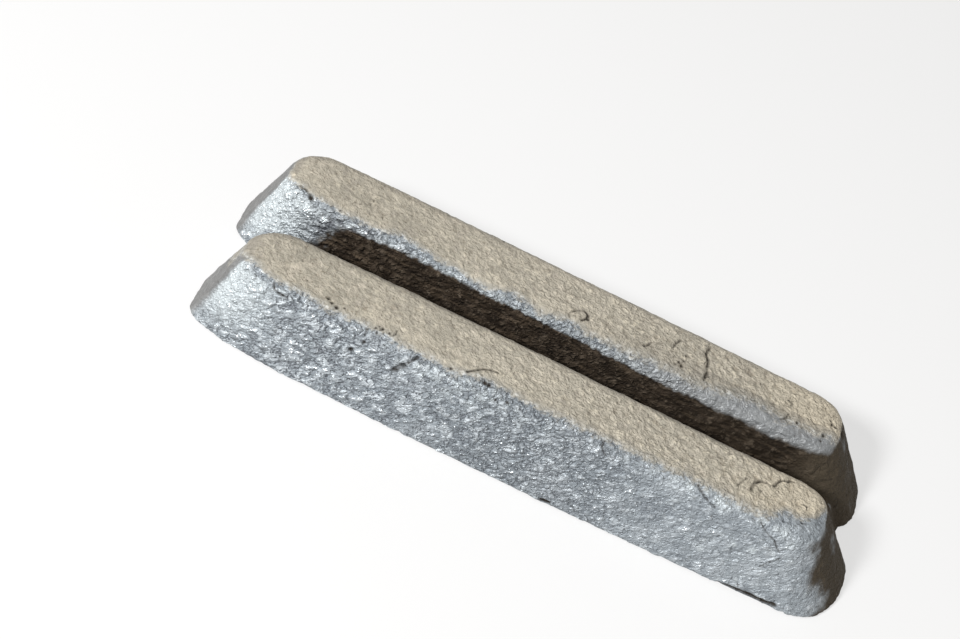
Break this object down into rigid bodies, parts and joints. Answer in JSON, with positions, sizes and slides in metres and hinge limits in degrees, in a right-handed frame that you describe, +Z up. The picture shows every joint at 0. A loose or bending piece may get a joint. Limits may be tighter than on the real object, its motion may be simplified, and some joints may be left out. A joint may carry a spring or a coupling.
{
  "type": "twin-bar metal ingot",
  "caption": "Cast stainless steel ingot: a pair of long tapered ridges joined along their wide side by a low web, lying on its wide flat face.",
  "frame": {"origin": "middle of the casting's box, on the flat foot face it rests on", "axes": "+X along the two bars, towards the ends that slope more; +Y across the bars; +Z up, out of the foot towards the crests"},
  "size_m": [0.4, 0.138, 0.051],
  "materials": {
    "cast_steel": "as-cast, matt, slightly rough"
  },
  "bodies": {
    "root": {"ingot": "cast_steel"}
  },
  "joints": []
}
